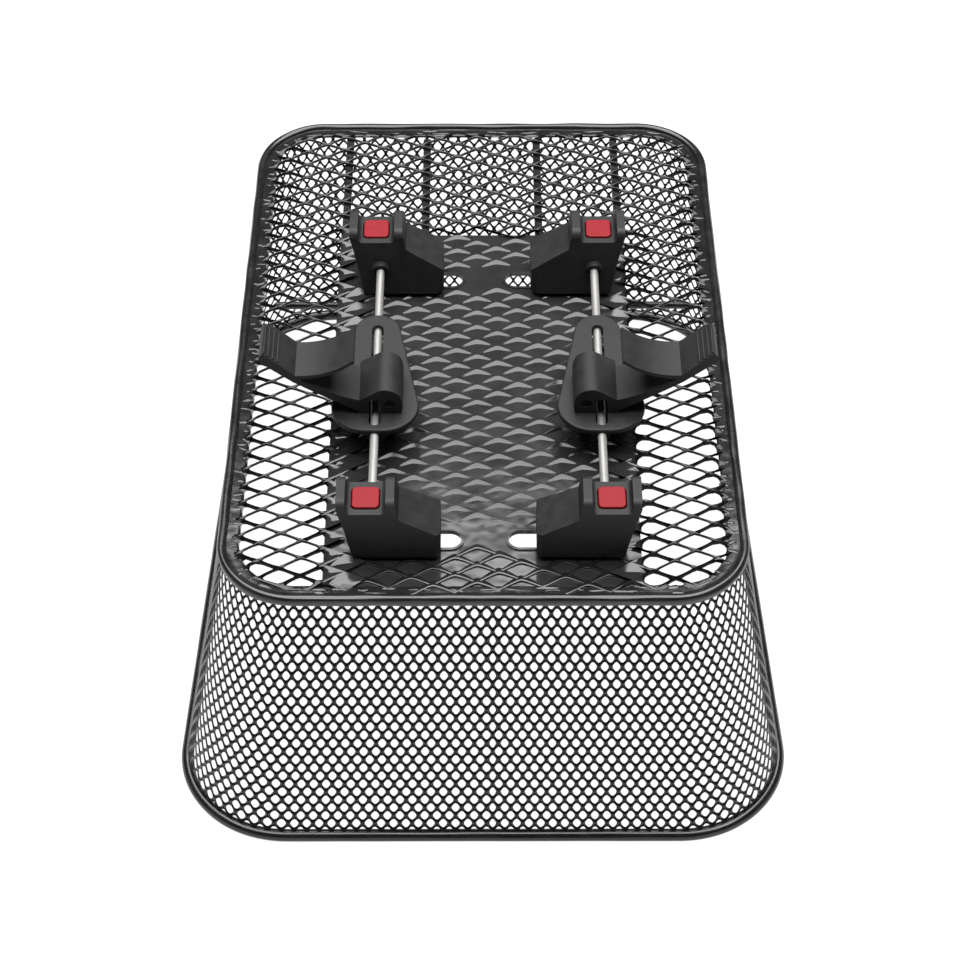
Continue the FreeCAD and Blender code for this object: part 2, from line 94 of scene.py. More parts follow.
BLOCK_Z = 187.0
FRONT_BLOCK_Y = -173.0
REAR_BLOCK_Y = 59.0
SIDE_X = {"left": 2.2, "right": 3.4}   # how far each side of the rack mount is set to the right
CHANNEL_U = 61.8
CHANNEL_HALF = 10.2
PRONG_T = 4.6
PRONG_TOP_Z = 226.0
ROD_U = 59.5
ROD_Z = 202.6
ROD_R = 2.25
BLOCK_LENGTH = 30.0
PAD_Y = 11.5                   # middle of the pad, from the block's outer end
PAD_TOP_Z = 220.2
PAD_BOTTOM_Z = 213.2
POCKET_FLOOR_Z = 207.5
SPRING_R = 4.2
SPRING_WIRE_R = 0.5


# --- mesh helpers --------------------------------------------------------------------------

def add_piece(name, verts, faces, material, body, nodes=(), slot=None, crease=35.0,
              marked=(), mark_material=None):
    """Makes a piece from millimetre vertices and hangs it on its body.

    The marked faces, listed by index, get their own material.
    """
    mesh = bpy.data.meshes.new(name)
    mesh.from_pydata([(x * MM, y * MM, z * MM) for x, y, z in verts], [], faces)
    mesh.materials.append(material)
    if mark_material:
        mesh.materials.append(mark_material)
        for index in marked:
            mesh.polygons[index].material_index = 1
    mesh.validate()
    mesh.shade_smooth()
    mesh.set_sharp_from_angle(angle=math.radians(crease))
    piece = bpy.data.objects.new(name, mesh)
    bpy.context.scene.collection.objects.link(piece)
    even = piece.modifiers.new("even_normals", "WEIGHTED_NORMAL")
    even.keep_sharp = True
    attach(piece, body)
    if nodes:
        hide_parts(*nodes)
    return piece


def temp_object(verts, faces):
    mesh = bpy.data.meshes.new("temp")
    mesh.from_pydata(verts, [], faces)
    obj = bpy.data.objects.new("temp", mesh)
    bpy.context.scene.collection.objects.link(obj)
    return obj


def evaluated(obj):
    """The object's mesh with its modifiers applied; the object is removed."""
    bpy.context.view_layer.update()
    graph = bpy.context.evaluated_depsgraph_get()
    mesh = bpy.data.meshes.new_from_object(obj.evaluated_get(graph))
    bpy.data.objects.remove(obj)
    return mesh


def as_lists(mesh):
    return [tuple(v.co) for v in mesh.vertices], [tuple(p.vertices) for p in mesh.polygons]


def combined(base, others, operation):
    """Exact boolean of (verts, faces) solids."""
    obj = temp_object(*base)
    tools = [temp_object(*other) for other in others]
    for tool in tools:
        modifier = obj.modifiers.new("boolean", "BOOLEAN")
        modifier.operation = operation
        modifier.solver = "EXACT"
        modifier.object = tool
    mesh = evaluated(obj)
    for tool in tools:
        bpy.data.objects.remove(tool)
    return as_lists(mesh)


def bevelled(solid, width, segments=3, angle=32.0):
    obj = temp_object(*solid)
    modifier = obj.modifiers.new("bevel", "BEVEL")
    modifier.width = width
    modifier.segments = segments
    modifier.limit_method = "ANGLE"
    modifier.angle_limit = math.radians(angle)
    modifier.miter_outer = "MITER_ARC"
    modifier.use_clamp_overlap = True
    return as_lists(evaluated(obj))


def prism(profile, low, high, axis):
    """Solid between two copies of a closed profile. axis y: (x, z) points. axis z: (x, y). axis x: (y, z)."""
    def at(point, level):
        a, b = point
        return {"x": (level, a, b), "y": (a, level, b), "z": (a, b, level)}[axis]
    count = len(profile)
    verts = [at(p, low) for p in profile] + [at(p, high) for p in profile]
    faces = [tuple(range(count))[::-1], tuple(range(count, 2 * count))]
    faces += [(i, (i + 1) % count, (i + 1) % count + count, i + count) for i in range(count)]
    return oriented(verts, faces)


def oriented(verts, faces):
    """Faces turned outward for a closed solid."""
    volume = 0.0
    for face in faces:
        a = Vector(verts[face[0]])
        for i in range(1, len(face) - 1):
            b, c = Vector(verts[face[i]]), Vector(verts[face[i + 1]])
            volume += a.dot(b.cross(c))
    if volume < 0:
        faces = [tuple(reversed(face)) for face in faces]
    return verts, faces


def circle(centre, radius, count=32, start=0.0, turn=360.0):
    steps = count if turn >= 360.0 else count + 1
    angles = [math.radians(start + turn * k / count) for k in range(steps)]
    return [(centre[0] + radius * math.cos(a), centre[1] + radius * math.sin(a)) for a in angles]


def cylinder(centre, radius, low, high, axis, count=32):
    return prism(circle(centre, radius, count), low, high, axis)


def capsule(x_low, x_high, y, half, steps=16):
    """Outline of a slot with round ends."""
    right = circle((x_high - half, y), half, steps, -90.0, 180.0)
    left = circle((x_low + half, y), half, steps, 90.0, 180.0)
    return right + left


def rounded_rect(x_low, y_low, x_high, y_high, radius, steps=6):
    corners = [(x_high - radius, y_low + radius, -90.0), (x_high - radius, y_high - radius, 0.0),
               (x_low + radius, y_high - radius, 90.0), (x_low + radius, y_low + radius, 180.0)]
    points = []
    for x, y, start in corners:
        points += circle((x, y), radius, steps, start, 90.0)
    return points


def transformed(solid, sign_x=1, sign_y=1, shift_x=0.0, shift_y=0.0):
    verts, faces = solid
    moved = [(x * sign_x + shift_x, y * sign_y + shift_y, z) for x, y, z in verts]
    if sign_x * sign_y < 0:
        faces = [tuple(reversed(face)) for face in faces]
    return moved, faces


def joined(*solids):
    verts, faces = [], []
    for more_verts, more_faces in solids:
        offset = len(verts)
        verts += list(more_verts)
        faces += [tuple(i + offset for i in face) for face in more_faces]
    return verts, faces


def arc_through(start, middle, end, count):
    """Points on the circle through three points, both ends included."""
    ax, ay = start
    bx, by = middle
    cx, cy = end
    d = 2 * (ax * (by - cy) + bx * (cy - ay) + cx * (ay - by))
    a2, b2, c2 = ax * ax + ay * ay, bx * bx + by * by, cx * cx + cy * cy
    ux = (a2 * (by - cy) + b2 * (cy - ay) + c2 * (ay - by)) / d
    uy = (a2 * (cx - bx) + b2 * (ax - cx) + c2 * (bx - ax)) / d
    radius = math.hypot(ax - ux, ay - uy)
    first = math.atan2(ay - uy, ax - ux)
    last = math.atan2(cy - uy, cx - ux)
    through = math.atan2(by - uy, bx - ux)
    sweep = (last - first) % (2 * math.pi)
    if (through - first) % (2 * math.pi) > sweep:
        sweep -= 2 * math.pi
    return [(ux + radius * math.cos(first + sweep * k / (count - 1)),
             uy + radius * math.sin(first + sweep * k / (count - 1))) for k in range(count)]


# --- closed outlines of the basket ---------------------------------------------------------

STRAIGHT_STEPS = (30, 90, 60, 90, 30)
ARC_STEPS = 24


def outline(half_near, half_far, near_y, far_y, radius, inset=0.0):
    """Rounded trapezoid from the near centre, anticlockwise.

    Each stretch has the same number of points on every outline, so two outlines can be paired point by point.
    """
    half_near, half_far = half_near - inset, half_far - inset
    near_y, far_y = near_y + inset, far_y - inset
    radius = radius - inset
    corners = [Vector((half_near, near_y)), Vector((half_far, far_y)),
               Vector((-half_far, far_y)), Vector((-half_near, near_y))]
    tangents = []
    for i, corner in enumerate(corners):
        back = (corners[i - 1] - corner).normalized()
        ahead = (corners[(i + 1) % 4] - corner).normalized()
        half = math.acos(max(-1.0, min(1.0, back.dot(ahead)))) / 2
        centre = corner + (back + ahead).normalized() * (radius / math.sin(half))
        reach = radius / math.tan(half)
        tangents.append((corner + back * reach, centre, corner + ahead * reach))
    points = []
    here = Vector((0.0, near_y))
    for i, (start, centre, end) in enumerate(tangents):
        points += [here.lerp(start, k / STRAIGHT_STEPS[i]) for k in range(STRAIGHT_STEPS[i])]
        first = math.atan2(start.y - centre.y, start.x - centre.x)
        last = math.atan2(end.y - centre.y, end.x - centre.x)
        sweep = (last - first) % (2 * math.pi)
        for k in range(ARC_STEPS):
            angle = first + sweep * k / ARC_STEPS
            points.append(centre + Vector((math.cos(angle), math.sin(angle))) * radius)
        here = end
    points += [here.lerp(Vector((0.0, near_y)), k / STRAIGHT_STEPS[4]) for k in range(STRAIGHT_STEPS[4])]
    return points


def normals_of(points):
    """Outward unit normals of a closed anticlockwise outline."""
    result = []
    for i in range(len(points)):
        run = points[(i + 1) % len(points)] - points[i - 1]
        result.append(Vector((run.y, -run.x)).normalized())
    return result


def swept_ring(points, profile, z, wobble=0.0, seed=0.0):
    """Closed sweep of an (outward, up) profile along an outline, with a slow wobble of its surface."""
    verts, faces = [], []
    normals = normals_of(points)
    count = len(profile)
    for point, normal in zip(points, normals):
        for k, (out, up) in enumerate(profile):
            ripple = wobble * noise.noise(Vector((point.x * 0.045 + seed, point.y * 0.045, k * 0.35)))
            length = math.hypot(out, up) or 1.0
            scale = 1.0 + ripple / length
            verts.append((point.x + normal.x * out * scale,
                          point.y + normal.y * out * scale, z + up * scale))
    total = len(points)
    for i in range(total):
        for k in range(count):
            a, b = i * count + k, i * count + (k + 1) % count
            c, d = ((i + 1) % total) * count + (k + 1) % count, ((i + 1) % total) * count + k
            faces.append((a, d, c, b))
    return oriented(verts, faces)


class WallMap:
    """Places (distance along, height part, stand-off) on the sloping wall."""

    def __init__(self):
        self.top = outline(**BASE)
        self.bottom = outline(**RIM)
        middle = [a.lerp(b, 0.5) for a, b in zip(self.top, self.bottom)]
        self.along = [0.0]
        for i in range(len(middle)):
            self.along.append(self.along[-1] + (middle[(i + 1) % len(middle)] - middle[i]).length)
        self.total = self.along[-1]
        self.top_normals = normals_of(self.top)
        self.bottom_normals = normals_of(self.bottom)

    def index(self, distance):
        distance = distance % self.total
        low, high = 0, len(self.along) - 1
        while high - low > 1:
            middle = (low + high) // 2
            if self.along[middle] <= distance:
                low = middle
            else:
                high = middle
        part = (distance - self.along[low]) / (self.along[low + 1] - self.along[low])
        return low, (low + 1) % len(self.top), part

    def __call__(self, distance, down, stand_off):
        i, j, part = self.index(distance)
        top = self.top[i].lerp(self.top[j], part)
        bottom = self.bottom[i].lerp(self.bottom[j], part)
        normal = self.top_normals[i].lerp(self.top_normals[j], part)
        normal = normal.lerp(self.bottom_normals[i].lerp(self.bottom_normals[j], part), down).normalized()
        place = top.lerp(bottom, down) + normal * stand_off
        return (place.x, place.y, BASE_WIRE_Z + (RIM_Z - BASE_WIRE_Z) * down)


# --- expanded metal ------------------------------------------------------------------------

def diamond_ring(steps):
    """Integer points round a diamond, anticlockwise from the right corner."""
    ring = []
    for k in range(steps):
        ring.append((steps - k, k))
    for k in range(steps):
        ring.append((-k, steps - k))
    for k in range(steps):
        ring.append((k - steps, -k))
    for k in range(steps):
        ring.append((k, k - steps))
    return ring


def oval(angle, half_width, half_height, power):
    """Point on a superellipse, between an ellipse (power 2) and a diamond (power 1)."""
    c, s = math.cos(angle), math.sin(angle)
    x = half_width * math.copysign(abs(c) ** (2.0 / power), c)
    y = half_height * math.copysign(abs(s) ** (2.0 / power), s)
    return x, y


def lattice(cells, steps, levels, cell_shape, place):
    """Sheet of diamonds with holes.

    cells lists (column, row) integers, row by half rows. levels gives (part of the way from the
    strand's centre line to the hole, front height, back height). place turns (x, y, height) in diamond
    units into millimetres, and also says whether the point had to be pulled back to the sheet's edge.
    The third list returned holds the front faces at the bonds, where the strands of two rows meet; the wall
    sheets give these faces a painted highlight.
    """
    ring = diamond_ring(steps)
    count = len(ring)
    verts, faces, beyond = [], [], []
    shared, bonds = {}, set()

    def vertex(x, y, height):
        point, outside = place(x, y, height)
        verts.append(point)
        beyond.append(outside)
        return len(verts) - 1

    def shared_vertex(column, row, dx, dy, side, height):
        key = (2 * column * steps + (row % 2) * steps + dx, row * steps + dy, side)
        if key not in shared:
            shared[key] = vertex(key[0] / steps, key[1] / steps, height)
        return shared[key]

    for column, row in cells:
        centre = (2 * column + row % 2, row)
        shape = cell_shape(column, row)
        loops = {}
        for side in (0, 1):
            for level, (part, *heights) in enumerate(levels):
                height = heights[side] - shape.get("sag", 0.0) * part ** 2
                loop = []
                for k, (dx, dy) in enumerate(ring):
                    if level == 0:
                        loop.append(shared_vertex(column, row, dx, dy, side, height))
                        continue
                    hx, hy = shape["hole"](2 * math.pi * k / count)
                    x = centre[0] + dx / steps + (hx - dx / steps) * part
                    y = centre[1] + dy / steps + (hy - dy / steps) * part
                    if level == len(levels) - 1 and heights[0] == heights[1] and side == 1:
                        loop.append(loops[(0, level)][k])
                    else:
                        loop.append(vertex(x, y, height))
                loops[(side, level)] = loop
        for level in range(len(levels) - 1):
            for k in range(count):
                n = (k + 1) % count
                front = loops[(0, level)], loops[(0, level + 1)]
                back = loops[(1, level)], loops[(1, level + 1)]
                if level == 0 and (k + 1) % (2 * steps) < 2:
                    bonds.add(len(faces))
                faces.append((front[0][k], front[0][n], front[1][n], front[1][k]))
                faces.append((back[0][n], back[0][k], back[1][k], back[1][n]))
        last = len(levels) - 1
        if loops[(0, last)][0] != loops[(1, last)][0]:
            for k in range(count):
                n = (k + 1) % count
                front, back = loops[(0, last)], loops[(1, last)]
                faces.append((front[k], front[n], back[n], back[k]))
    kept = [index for index, face in enumerate(faces) if sum(beyond[i] for i in face) < 3]
    marked = [order for order, index in enumerate(kept) if index in bonds]
    return (*compact(verts, [faces[index] for index in kept]), marked)


def compact(verts, faces):
    """Drops vertices that no face uses."""
    used = sorted({i for face in faces for i in face})
    order = {old: new for new, old in enumerate(used)}
    return [verts[i] for i in used], [tuple(order[i] for i in face) for face in faces]


def wall_sheet(wall, start, length):
    """One of the two fine sheets, from a seam round the basket to the other seam."""
    pitch = length / FINE_COLUMNS
    row_step = FINE_SPAN / FINE_ROWS

    def cell_shape(column, row):
        y = wall(start + (2 * column + row % 2) * pitch / 2, 0.5, 0.0)[1]
        far = max(0.0, min(1.0, (y + 120.0) / 200.0))
        width, height, power = [a + (b - a) * far for a, b in zip(FINE_HOLE_NEAR, FINE_HOLE_FAR)]
        if 2 * column + row % 2 in (0, 2 * FINE_COLUMNS):
            width *= SEAM_SQUEEZE
        return {"hole": lambda angle: oval(angle, width, height, power)}

    def place(x, y, height):
        along = x * pitch / 2
        down = FINE_TOP + y * row_step
        outside = along < 0.0 or along > length or down < 0.0 or down > 1.0
        along = max(0.0, min(length, along))
        down = max(0.0, min(1.0, down))
        return wall(start + along, down, height), outside

    rows, columns = range(-1, FINE_ROWS + 2), range(-1, FINE_COLUMNS + 1)
    cells = [(column, row) for row in rows for column in columns]
    shoulder = FINE_THICK * 0.72
    levels = [(0.0, FINE_THICK, -FINE_THICK), (0.62, shoulder, -shoulder), (1.0, 0.0, 0.0)]
    return lattice(cells, 3, levels, cell_shape, place)


class EdgeOfFloor:
    """Pulls points of the floor mesh back to an inset outline, near which they sink into the paint."""

    def __init__(self, inset):
        self.points = outline(**BASE, inset=inset)
        self.normals = normals_of(self.points)

    def nearest(self, x, y):
        """Outward normal of the outline near a point, and how far outside it the point lies."""
        here = Vector((x, y))
        best = min(range(len(self.points)), key=lambda i: (self.points[i] - here).length_squared)
        return self.normals[best], (here - self.points[best]).dot(self.normals[best])

    def __call__(self, x, y):
        normal, gap = self.nearest(x, y)
        if gap <= 0.0:
            return x, y, max(0.0, 1.0 + gap / 5.0), False
        return x - normal.x * gap, y - normal.y * gap, 1.0, True


def over_plate(x, y):
    """Whether a point lies over the mount plate."""
    return abs(x) < PLATE_HALF and PLATE_NEAR_Y < y < PLATE_FAR_Y


def on_slot_pad(x, y):
    """Whether a point lies on the smooth strips of the plate round its slots."""
    below = (5.5 if abs(x) < 8.0 else 10.5, 7.5)
    return abs(x) < SLOT_OUTER + 8 and any(-low < y - slot_y < SLOT_PAD for slot_y, low in zip(SLOT_Y, below))


def floor_place(edge):
    """Placing function of the coarse sheet for lattice()."""
    def place(x, y, height):
        px = COARSE_PHASE[0] + x * COARSE_PITCH / 2
        py = COARSE_PHASE[1] + y * COARSE_ROW + COARSE_SHEAR * (px - COARSE_PHASE[0])
        px, py, sunk, outside = edge(px, py)
        return (px, py, COARSE_Z + height - COARSE_SINK * sunk), outside
    return place


def floor_centre(column, row):
    """Middle of one coarse diamond."""
    x = COARSE_PHASE[0] + (2 * column + row % 2) * COARSE_PITCH / 2
    return x, COARSE_PHASE[1] + row * COARSE_ROW + COARSE_SHEAR * (x - COARSE_PHASE[0])


def floor_cells(keep):
    """Coarse diamonds whose middle passes keep(x, y)."""
    cells = [(column, row) for row in range(-8, 64) for column in range(-8, 8)]
    return [cell for cell in cells if keep(*floor_centre(*cell))]


def cut_hole(limits):
    """Hole of one diamond with rounded corners, kept clear of the limits.

    Each limit is (nx, ny, reach) in diamond units. Also gives how much of the hole is left, from 0 to 1.
    """
    half_width, half_height = OPEN_HOLE
    sides = [(sx / half_width, sy / half_height, 1.0) for sx in (-1, 1) for sy in (-1, 1)]
    centre, left = (0.0, 0.0), 1.0
    for nx, ny, reach in limits:
        across = abs(nx) * half_width > abs(ny) * half_height
        span = abs(nx) * half_width if across else abs(ny) * half_height
        part = (span - min(span, reach)) / (2 * span)
        if part <= 1.0 - left:
            continue
        left = max(0.0, 1.0 - part)
        part = min(part, 0.8)
        if across:
            centre = (-math.copysign(half_width * part, nx), 0.0)
        else:
            centre = (0.0, -math.copysign(half_height * part, ny))

    def hole(angle):
        if left < 0.22:
            return centre[0] + 0.02 * math.cos(angle), centre[1] + 0.02 * math.sin(angle)
        dx, dy = math.cos(angle), math.sin(angle)
        total = 0.0
        for nx, ny, reach in sides + limits:
            room = max(0.05, reach - nx * centre[0] - ny * centre[1])
            total += (max(0.0, nx * dx + ny * dy) / room) ** 6
        reach = total ** (-1.0 / 6.0)
        return centre[0] + reach * dx, centre[1] + reach * dy
    return hole, left


def centre_of(points):
    """Mean of a list of points."""
    return [sum(values) / len(points) for values in zip(*points)]


def open_floor(edge, band_edge):
    """Open expanded metal beside and beyond the plate, webbed with paint along the plate and the band."""
    half = COARSE_PITCH / 2

    def cell_shape(column, row):
        x, y = floor_centre(column, row)
        limits = []
        if abs(x) > PLATE_HALF - half and PLATE_NEAR_Y - 4.0 < y < PLATE_FAR_Y + 3.0:
            limits.append((-math.copysign(half, x), 0.0, abs(x) - PLATE_HALF - 0.6))
        normal, gap = band_edge.nearest(x, y)
        limits.append(((normal.x + normal.y * COARSE_SHEAR) * half, normal.y * COARSE_ROW, -gap - 0.6))
        hole, left = cut_hole(limits)
        return {"sag": WEB_SAG * min(1.0, 4.0 * (1.0 - left)), "hole": hole}

    def kept(x, y):
        if abs(x) > 150 or not -215 < y < 200 or band_edge.nearest(x, y)[1] > 6.0:
            return False
        if abs(x) > PLATE_HALF or y > PLATE_FAR_Y:
            return True
        return abs(x) > PLATE_HALF - half and all(abs(y - slot_y) > SLOT_PAD for slot_y in SLOT_Y)

    levels = [(0.0, 1.0, -0.9), (0.45, 0.87, -0.8), (0.8, 0.6, -0.5), (1.0, 0.1, 0.1)]
    return lattice(floor_cells(kept), 4, levels, cell_shape, floor_place(edge))


def crest_profile(fade, width):
    """Section of a crest over the plate: hollow slope to the near side, sharp top, short fall behind."""
    near, height, back = 0.2 + width * fade, 0.1 + 0.5 * width * fade, 0.25 + 0.9 * fade
    return [(-near, -0.05), (-near * 0.5, height * 0.40), (-0.14, height * 0.95), (0.12, height),
            (back * 0.5, height * 0.5), (back, -0.05)]


def ridge_profile(fade, width):
    """Section of a crest at the near end: narrow ridge with a gentle top and a long fall behind."""
    height, back = 0.5 + 0.5 * fade, 0.5 + width * fade
    return [(-1.0, -0.05), (-0.7, height * 0.84), (-0.2, height), (0.65, height),
            (0.65 + back * 0.4, height * 0.55), (0.65 + back, -0.05)]


def crest(centre, reach, width, profile):
    """Raised crest over a joint of the sheet, running down along the diamond's edges to both sides."""
    verts, faces = [], []
    steps = 20
    for k in range(steps + 1):
        part = 2.0 * k / steps - 1.0
        dx = reach * part
        top = centre[1] + COARSE_SHEAR * dx - CREST_FALL * (math.hypot(dx, CREST_ROUND) - CREST_ROUND)
        section = profile(1.0 - abs(part) ** 1.4, width)
        verts += [(centre[0] + dx, top + dy, PLATE_TOP_Z + height) for dy, height in section]
    for k in range(steps):
        for i in range(6):
            j = (i + 1) % 6
            faces.append((6 * k + i, 6 * k + j, 6 * k + 6 + j, 6 * k + 6 + i))
    faces.append(tuple(range(5, -1, -1)))
    faces.append(tuple(6 * steps + i for i in range(6)))
    return oriented(verts, faces)


def embossed_floor():
    """Crests where the plate backs the sheet and paint fills the corners, like overlapping scales."""
    draw = random.Random(5)
    solids = []
    for column, row in floor_cells(lambda x, y: over_plate(x, y) or over_plate(x, y + COARSE_ROW)):
        x, y = floor_centre(column, row)
        y += COARSE_ROW
        if abs(x) > PLATE_HALF - 3.0 or not PLATE_NEAR_Y - 6.0 < y < PLATE_FAR_Y - 1.0 or on_slot_pad(x, y):
            continue
        if y < SLOT_Y[0]:
            solids.append(crest((x, y), 11.27, draw.uniform(2.2, 3.0), ridge_profile))
        else:
            reach = 9.7 * draw.uniform(0.93, 1.05)
            solids.append(crest((x, y), reach, draw.uniform(1.8, 2.3), crest_profile))
    return joined(*solids)


# --- base ----------------------------------------------------------------------------------

def base_wire():
    """Wire whose underside is drawn down over the edge of the wall sheets."""
    profile = [(out, up if up > 0.0 else up * 1.75) for out, up in circle((0.0, 0.0), BASE_WIRE_R, 20)]
    return swept_ring(outline(**BASE), profile, BASE_WIRE_Z, 0.35, 3.0)


def base_band():
    """Flat band with a rolled inner lip that stands against the wire."""
    outer, inner = -BASE_WIRE_R + 1.0, -BASE_WIRE_R - BAND_WIDTH
    top = [(outer, -1.2), (outer, 0.35), (outer - 1.4, 0.1), (outer - 3.0, 0.0), (inner + 1.2, 0.0)]
    lip = [(inner + 0.35, -0.2), (inner, -0.75), (inner + 0.35, -1.4), (inner + 1.2, -1.6)]
    return swept_ring(outline(**BASE), top + lip + [(outer - 1.0, -1.6)], BAND_TOP_Z, 0.22, 8.0)


def weld_lumps():
    """Scattered lumps of paint where the strands end: across the band at the sides, along it at the ends."""
    draw = random.Random(11)
    solids = []
    for depth, gap in ((0.62, 0.0), (0.36, 5.0)):
        points = outline(**BASE, inset=BASE_WIRE_R + BAND_WIDTH * depth)
        normals = normals_of(points)
        distance, next_lump = 0.0, 4.0 + gap
        for i in range(len(points)):
            distance += (points[(i + 1) % len(points)] - points[i]).length
            if distance < next_lump:
                continue
            side = abs(normals[i].x) > 0.6
            spacing = draw.uniform(4.5, 8.5) if side else draw.uniform(9.0, 17.0)
            next_lump = distance + spacing * (1.0 + gap * 0.3)
            centre = points[i] + normals[i] * draw.uniform(-1.2, 1.2)
            along = math.atan2(normals[i].x, -normals[i].y)
            if side:
                half = (draw.uniform(1.6, 3.4), draw.uniform(0.8, 1.3), draw.uniform(0.35, 0.55))
                turn = along + math.pi / 2 + draw.uniform(-0.5, 0.5)
            else:
                half = (draw.uniform(2.5, 6.5), draw.uniform(0.8, 1.4), draw.uniform(0.35, 0.6))
                turn = along + draw.uniform(-0.15, 0.15)
            solids.append(lump(centre, BAND_TOP_Z - 0.1, half, turn, draw.uniform(0, 50)))
    return joined(*solids)


def lump(centre, z, half, turn, seed):
    """Uneven ellipsoid with the given half sizes, turned about the vertical."""
    verts, faces = [], []
    rings, around = 6, 12
    for r in range(1, rings):
        polar = math.pi * r / rings
        for k in range(around):
            angle = 2 * math.pi * k / around
            x, y = math.sin(polar) * math.cos(angle), math.sin(polar) * math.sin(angle)
            h = math.cos(polar)
            grow = 1.0 + 0.35 * noise.noise(Vector((x * 1.3 + seed, y * 1.3, h)))
            px, py = x * half[0] * grow, y * half[1] * grow
            verts.append((centre.x + px * math.cos(turn) - py * math.sin(turn),
                          centre.y + px * math.sin(turn) + py * math.cos(turn),
                          z + h * half[2] * grow))
    verts.append((centre.x, centre.y, z + half[2]))
    verts.append((centre.x, centre.y, z - half[2]))
    top, bottom = len(verts) - 2, len(verts) - 1
    for r in range(rings - 2):
        for k in range(around):
            n = (k + 1) % around
            low, high = r * around, (r + 1) * around
            faces.append((low + k, high + k, high + n, low + n))
    for k in range(around):
        n = (k + 1) % around
        faces.append((top, k, n))
        faces.append((bottom, (rings - 2) * around + n, (rings - 2) * around + k))
    return oriented(verts, faces)


def mount_plate():
    """Plate with four slots that have rolled lips."""
    low = PLATE_TOP_Z - PLATE_T
    corners = rounded_rect(-PLATE_HALF, PLATE_NEAR_Y, PLATE_HALF, PLATE_FAR_Y, 1.5)
    plate = prism(corners, low, PLATE_TOP_Z, "z")
    lips, cuts = [], []
    for y in SLOT_Y:
        for sign in (-1, 1):
            x_low, x_high = sorted((sign * SLOT_INNER, sign * SLOT_OUTER))
            x_low, x_high = x_low + SLOTS_X, x_high + SLOTS_X
            rim = capsule(x_low - 1.5, x_high + 1.5, y, SLOT_HALF + 1.5)
            lips.append(prism(rim, low, PLATE_TOP_Z + 0.9, "z"))
            cuts.append(prism(capsule(x_low, x_high, y, SLOT_HALF), low - 2, PLATE_TOP_Z + 4, "z"))
    plate = combined(combined(plate, lips, "UNION"), cuts, "DIFFERENCE")
    return bevelled(plate, 0.6, 3)


# --- clamp blocks --------------------------------------------------------------------------

def block_section():
    """Section across a block, with rounded roots in the channel."""
    floor = BLOCK_Z + 32.0
    root = 2.6
    low, high = CHANNEL_U - CHANNEL_HALF, CHANNEL_U + CHANNEL_HALF
    right_root = circle((high - root, floor + root), root, 5, 0.0, -90.0)
    left_root = circle((low + root, floor + root), root, 5, -90.0, -90.0)
    outside = [(24.0, BLOCK_Z), (69.2, BLOCK_Z), (72.9, BLOCK_Z + 20), (high + PRONG_T, BLOCK_Z + 35),
               (high + PRONG_T, PRONG_TOP_Z), (high, PRONG_TOP_Z)]
    inside = [(low, PRONG_TOP_Z), (low - PRONG_T, PRONG_TOP_Z), (low - PRONG_T - 1.8, BLOCK_Z + 27.7),
              (24.0, BLOCK_Z + 15.0)]
    return outside + right_root + left_root + inside


def prong_end(y, facing):
    """What is cut off to round both prongs at the end y; facing points into the block."""
    radius = 5.0
    arc = circle((radius, PRONG_TOP_Z - radius), radius, 10, 180.0, -90.0)
    above = [(radius, PRONG_TOP_Z + 1.0), (-1.0, PRONG_TOP_Z + 1.0)]
    points = [(-1.0, PRONG_TOP_Z - radius)] + arc + above
    return prism([(y + facing * a, b) for a, b in points], 20.0, 90.0, "x")


def block_solid():
    """Right front block; local y runs from its outer end to the face that looks along the rod."""
    solid = prism(block_section(), 0.0, BLOCK_LENGTH, "y")
    top = PRONG_TOP_Z + 2.0
    relief = [(23.0, BLOCK_Z + 32.0), (23.0, top), (33.0, top), (33.0, BLOCK_Z - 2.0), (30.4, BLOCK_Z - 2.0)]
    corner = [(23.0, -1.0), (27.2, -1.0), (24.0, 2.6), (23.0, 2.6)]
    inner_corner = [(23.0, 31.0), (28.6, 31.0), (24.0, 26.0), (23.0, 26.0)]
    cuts = [prism(relief, 20.0, 90.0, "x"), prong_end(0.0, 1), prong_end(23.0, -1)]
    cuts += [prism(cut, BLOCK_Z - 1, BLOCK_Z + 30, "z") for cut in (corner, inner_corner)]
    solid = combined(solid, cuts, "DIFFERENCE")
    solid = bevelled(solid, 0.7, 3, 30.0)
    pocket = prism(round_pad(7.5, 7.8, 2.9), POCKET_FLOOR_Z, 225.0, "z")
    boss = cylinder((ROD_U, ROD_Z), 5.1, 24.0, 29.2, "y")
    solid = combined(solid, [bevelled(boss, 0.5, 2)], "UNION")
    mouth = cylinder((ROD_U, ROD_Z), 3.4, 28.0, 33.0, "y")
    bore = cylinder((ROD_U, ROD_Z), ROD_R, 6.0, 33.0, "y")
    solid = combined(solid, [pocket, mouth, bore], "DIFFERENCE")
    tongue = rounded_rect(33.0, BLOCK_LENGTH / 2 - 5.7, 51.0, BLOCK_LENGTH / 2 + 5.7, 3.0)
    return joined(solid, prism(tongue, PLATE_TOP_Z - PLATE_T, BLOCK_Z + 0.5, "z"))


def round_pad(half_x, half_y, radius):
    """Outline round the middle of the pad."""
    return rounded_rect(CHANNEL_U - half_x, PAD_Y - half_y, CHANNEL_U + half_x, PAD_Y + half_y, radius)


def pad_solid():
    """Crowned pad with soft edges."""
    body = prism(round_pad(7.0, 7.3, 2.5), PAD_BOTTOM_Z, PAD_TOP_Z, "z")
    return bevelled(body, 0.8, 4, 40.0)


